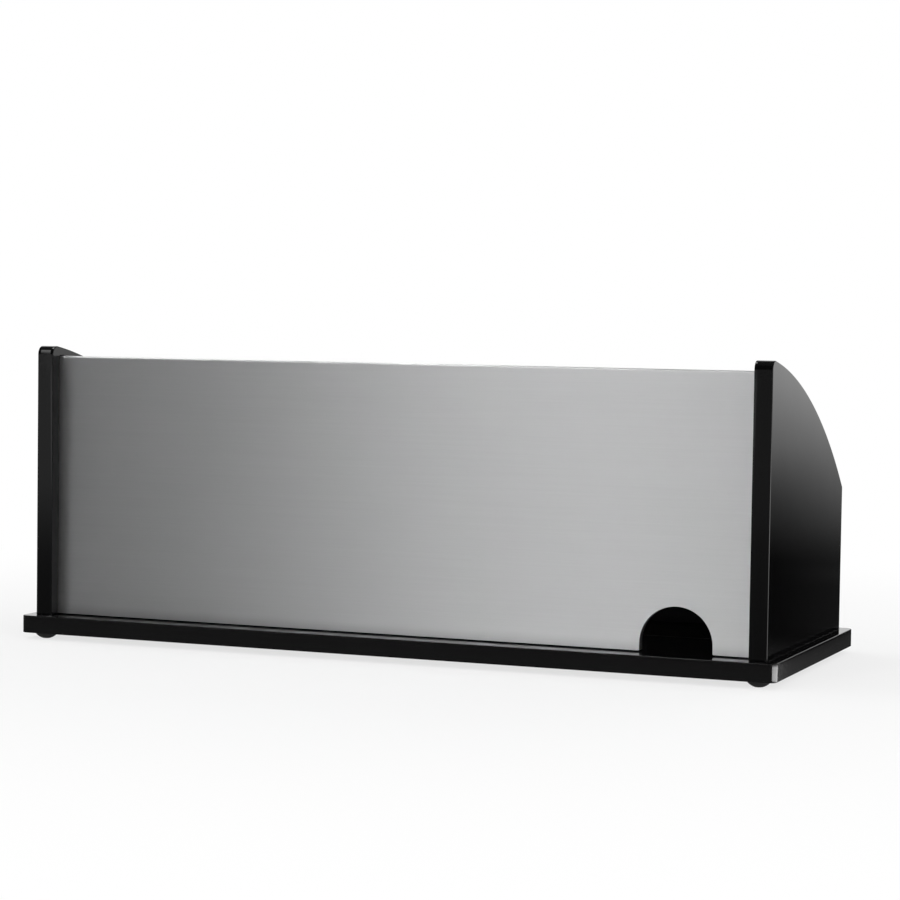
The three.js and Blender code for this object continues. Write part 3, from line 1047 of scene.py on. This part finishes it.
def make_room(base, ends, sheets):
    """The room round the set, open towards the white backdrop in front. Before the wall, clear films carry
    tall bright strips for some pieces each. A strip is bent so that every point of it lies at the same
    slant to the sorter's length, since brushed metal spreads light along such a line. To the left of the
    backdrop stands a dark flag, with a film before it whose glow only the sheets show."""
    make_wall()
    strip_film("strips", STRIPS, STRIP_FOOT, [base, *sheets], FILM_REACH)
    strip_film("other_strips", OTHER_STRIPS, STRIP_FOOT, sheets, OTHER_FILM_REACH)
    strip_film("end_strip", END_STRIPS, END_STRIP_FOOT, ends, END_FILM_REACH)
    film = Finish("front_film")
    clear_glow(film, FRONT_GLOW_TONE)
    bent_wall("front_glow", film, FRONT_GLOW_TURN, FLAG_FOOT, sheets, FILM_REACH)
    bent_wall("left_flag", plain_glow("dark_flag", FLAG_TONE), FLAG_TURN, FLAG_FOOT)
    make_ceiling()


def make_post_flag():
    """A narrow dim card that carries the right end's inner face on towards the rear, so that the rear
    sheet is darker beside that end."""
    low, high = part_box("right_side_panel")
    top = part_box("rear_panel")[1].z
    back = high.y + POST_FLAG_DEPTH
    corners = ((high.y, low.z), (back, low.z), (back, top), (high.y, top))
    points = np.column_stack((np.full(len(corners), low.x), corners))
    stage_card("post_flag", plain_glow("dim_flag", POST_FLAG_TONE), points, [[0, 1, 2, 3]])


def near_corner():
    """The base's upright corner that is nearest to the camera."""
    low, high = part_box("base_plate")
    return low.x, high.y


def from_corner(finish):
    """How far a point lies to the right and to the rear of the base's near corner."""
    corner_x, corner_y = near_corner()
    x, y, _ = finish.parts(finish.place())
    return x - corner_x, y - corner_y


def ring_card(finish, piece, height, ring):
    """Part of a level ring about the base's near corner, which only that piece's gloss shows."""
    inner, outer, first, last = ring
    turn = np.radians(np.linspace(first, last, BEND_STEPS))
    rim = np.column_stack((np.sin(turn), np.cos(turn)))
    points = np.vstack([level_loop(rim * reach + near_corner(), height) for reach in (inner, outer)])
    here = np.arange(len(rim) - 1)
    faces = np.column_stack((here, here + len(rim), here + 1 + len(rim), here + 1))
    stage_card(finish.holder.name + "_card", finish, points, faces.tolist(), [piece])


def make_reflectors(base, end):
    """Two cards that lie on the table about the base's near corner: a small bright one that lights the
    corner's gloss, dimmer towards the front, and a wide dim one with soft sides in the gloss of the end
    above."""
    near = Finish("near_reflector")
    frontal = 1 - azimuth_of(near, *from_corner(near)).turn_band(*NEAR_FRONTAL_TURN)
    clear_glow(near, NEAR_TONE * (1 - NEAR_FRONTAL_DIM * frontal))
    ring_card(near, base, NEAR_HEIGHT, NEAR_RING)
    far = Finish("far_reflector")
    x, y = from_corner(far)
    away = reach_of(x, y)
    turn = azimuth_of(far, x, y)
    within = turn.turn_band(*FAR_FRONT_SIDE) * (1 - turn.turn_band(*FAR_REAR_SIDE))
    reach = away.band(*FAR_START) * (1 - away.band(*FAR_END))
    clear_glow(far, away.band(*FAR_RISE).between(*FAR_TONES) * within * reach)
    ring_card(far, end, FAR_HEIGHT, FAR_RING)


def soft_box(name, azimuth, elevation, distance, size, brightness):
    """A rectangular softbox aimed at the object, as bright as so many times white paper; gloss doesn't
    show it. Azimuth is measured from behind the sorter, towards its right end."""
    turn = math.radians(azimuth)
    rise = math.radians(elevation)
    out = np.array((math.sin(turn) * math.cos(rise), math.cos(turn) * math.cos(rise), math.sin(rise)))
    lamp = bpy.data.lights.new(name, "AREA")
    lamp.shape = "RECTANGLE"
    lamp.size, lamp.size_y = size
    lamp.energy = brightness * math.pi * size[0] * size[1]
    holder = bpy.data.objects.new(name, lamp)
    aim = Matrix.Rotation(-turn + math.pi, 4, "Z") @ Matrix.Rotation(math.pi / 2 - rise, 4, "X")
    holder.matrix_world = Matrix.Translation(out * distance) @ aim
    holder.visible_camera = False
    holder.visible_glossy = False
    bpy.context.scene.collection.objects.link(holder)


def make_world():
    """White where it is seen and a mild grey light from all round."""
    world = bpy.data.worlds.new("studio")
    bpy.context.scene.world = world
    finish = Finish("studio", world)
    strength = seen_directly(finish).between(WORLD_LIGHT, 1.0)
    background = finish.node("ShaderNodeBackground", {}, {"Color": WHITE, "Strength": strength})
    finish.node("ShaderNodeOutputWorld", {}, {"Surface": background})


def make_camera():
    """The camera behind the sorter and to its left, looking slightly down."""
    lens = bpy.data.cameras.new("camera")
    lens.sensor_width = CAMERA_SENSOR
    lens.lens = CAMERA_LENS
    lens.clip_start = CAMERA_CLIP_START
    holder = bpy.data.objects.new("camera", lens)
    turn = Matrix.Rotation(CAMERA_YAW, 4, "Z") @ Matrix.Rotation(CAMERA_PITCH, 4, "X")
    holder.matrix_world = Matrix.Translation(CAMERA_PLACE) @ turn @ Matrix.Rotation(CAMERA_ROLL, 4, "Z")
    bpy.context.scene.collection.objects.link(holder)
    bpy.context.scene.camera = holder


def build():
    """Makes every piece, its finish and the studio."""
    acrylic = {sort: black_acrylic(sort) for sort in ACRYLIC_SORTS}
    aluminium = brushed_aluminium("brushed_aluminium")
    rubber = foot_rubber("foot_rubber")
    steel = screw_steel("screw_steel")
    base = make_base()
    ends = [make_side(node) for node in ("left_side_panel", "right_side_panel")]
    rear = make_panel("rear_panel", "rear_sheet", cable_panel)
    divider = make_panel("middle_divider", "divider_sheet", divider_panel)
    front = make_panel("front_panel", "front_sheet", plain_panel)
    dress(base, acrylic["flat"])
    for end in ends:
        dress(end, acrylic["upright"])
    dress(divider, acrylic["cross"])
    for panel in (rear, front):
        dress(panel, aluminium)
    for corner in CORNERS:
        dress(make_foot(f"foot_{corner}"), rubber)
    for node, (middle, bottom, top) in screw_centres().items():
        dress(make_screw(node, middle, bottom, top), steel)
    make_floor()
    make_table_card()
    make_room(base, ends, [rear, front])
    make_post_flag()
    make_reflectors(base, ends[0])
    make_world()
    make_camera()
    for box in SOFT_BOXES:
        soft_box(*box)


build()
bpy.context.scene.view_settings.view_transform = "Standard"
